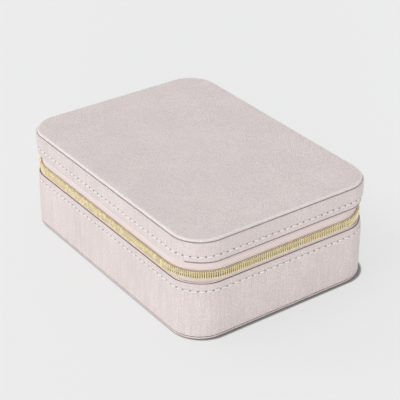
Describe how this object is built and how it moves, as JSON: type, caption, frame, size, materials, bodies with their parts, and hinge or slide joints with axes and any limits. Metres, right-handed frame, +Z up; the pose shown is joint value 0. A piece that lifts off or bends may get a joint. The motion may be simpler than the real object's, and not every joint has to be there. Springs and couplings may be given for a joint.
{
  "type": "jewelry box",
  "caption": "Zip-around travel jewelry case in pale pink grained leathercloth, with a hinged lid, a gold coil zip, velvet compartments and ring rolls.",
  "frame": {"origin": "centre of the case's underside, where it rests on a table", "axes": "+X to the right along the long side, +Y from the front to the hinge at the back, +Z up"},
  "size_m": [0.2073, 0.1488, 0.072],
  "materials": {
    "leathercloth": "satin",
    "board": "matte",
    "velvet": "matte",
    "zip_tape": "matte",
    "gold_coil": "gloss",
    "gold_metal": "polished",
    "thread": "satin"
  },
  "bodies": {
    "base": {"bottom_panel_cover": "leathercloth", "bottom_panel_board": "board", "base_wall_cover": "leathercloth", "base_wall_board": "board", "base_wall_lining": "velvet", "base_floor_pad": "velvet", "base_zip_tape": "zip_tape", "base_zip_coil": "gold_coil", "base_zip_stops": "gold_metal", "base_hinge_strip": "leathercloth", "base_stitching": "thread", "long_divider": "velvet", "cross_divider": "velvet", "rear_divider": "velvet", "side_divider": "velvet", "ring_roll_1": "velvet", "ring_roll_2": "velvet", "ring_roll_3": "velvet", "ring_roll_4": "velvet", "ring_roll_5": "velvet"},
    "lid": {"top_panel_cover": "leathercloth", "top_panel_board": "board", "lid_wall_cover": "leathercloth", "lid_wall_board": "board", "lid_wall_lining": "velvet", "lid_lining_pad": "velvet", "lid_zip_tape": "zip_tape", "lid_zip_coil": "gold_coil", "lid_zip_stops": "gold_metal", "lid_hinge_strip": "leathercloth", "lid_stitching": "thread", "necklace_strip": "leathercloth", "necklace_hooks": "gold_metal", "lid_pocket": "velvet", "pocket_elastic": "velvet"},
    "slider": {"zip_slider": "gold_metal"},
    "pull": {"zip_pull": "gold_metal"}
  },
  "joints": [
    {"name": "lid_hinge", "type": "hinge", "parent": "base", "child": "lid", "pos_m": [0, 0.0747, 0.0464], "axis": [-1, 0, 0], "range_deg": [0, 105]},
    {"name": "slider_travel", "type": "slide", "parent": "base", "child": "slider", "axis": [0, -1, 0], "range_m": [0, 0.088]},
    {"name": "pull_swing", "type": "hinge", "parent": "slider", "child": "pull", "pos_m": [-0.1046, 0.044, 0.0464], "axis": [0, 1, 0], "range_deg": [-8, 170]}
  ]
}
